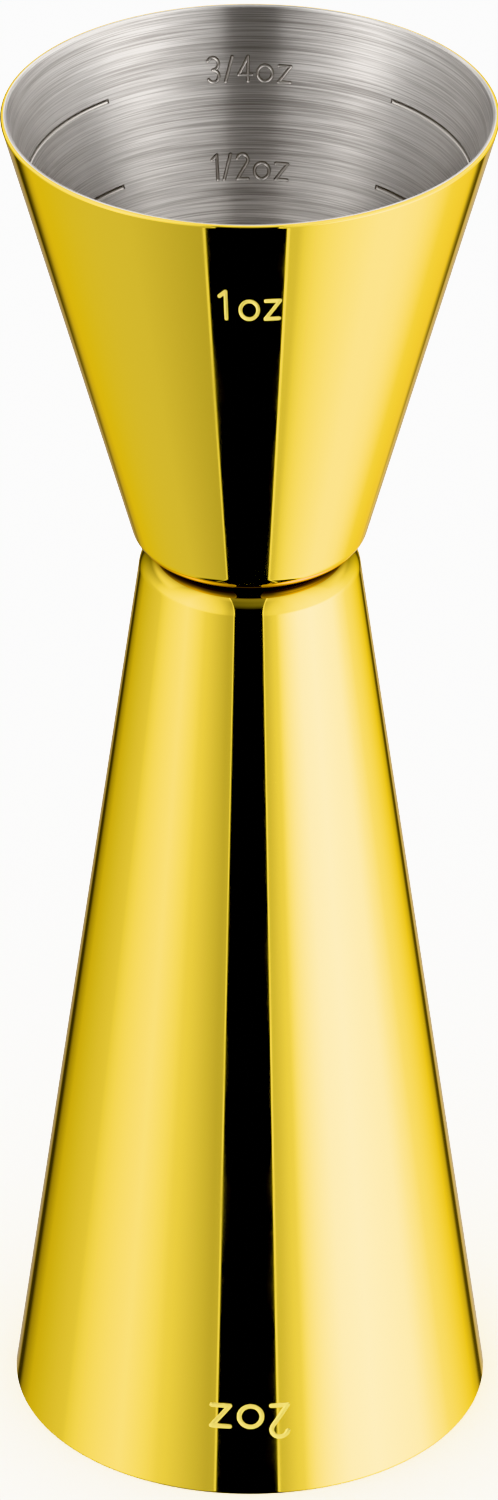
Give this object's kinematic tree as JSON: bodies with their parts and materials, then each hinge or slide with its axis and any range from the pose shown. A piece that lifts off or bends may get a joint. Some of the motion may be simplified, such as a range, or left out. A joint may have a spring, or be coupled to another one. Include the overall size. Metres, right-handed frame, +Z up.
{
  "type": "bar jigger",
  "caption": "Double-ended bar jigger: a short conical cup welded base to base on a tall one, mirror gold outside and brushed steel inside.",
  "frame": {"origin": "centre of the two ounce cup's rim plane, which is the face that the jigger stands on", "axes": "+Z up along the axis of both cups, out through the one ounce cup's mouth; -Y faces the viewer of the outside capacity marks"},
  "size_m": [0.0422, 0.0422, 0.126],
  "materials": {
    "gold_mirror": "polished",
    "brushed_inside": "satin",
    "weld_steel": "matte"
  },
  "bodies": {
    "root": {"one_ounce_cup": "gold_mirror", "two_ounce_cup": "gold_mirror", "spot_welds": "weld_steel"}
  },
  "joints": []
}
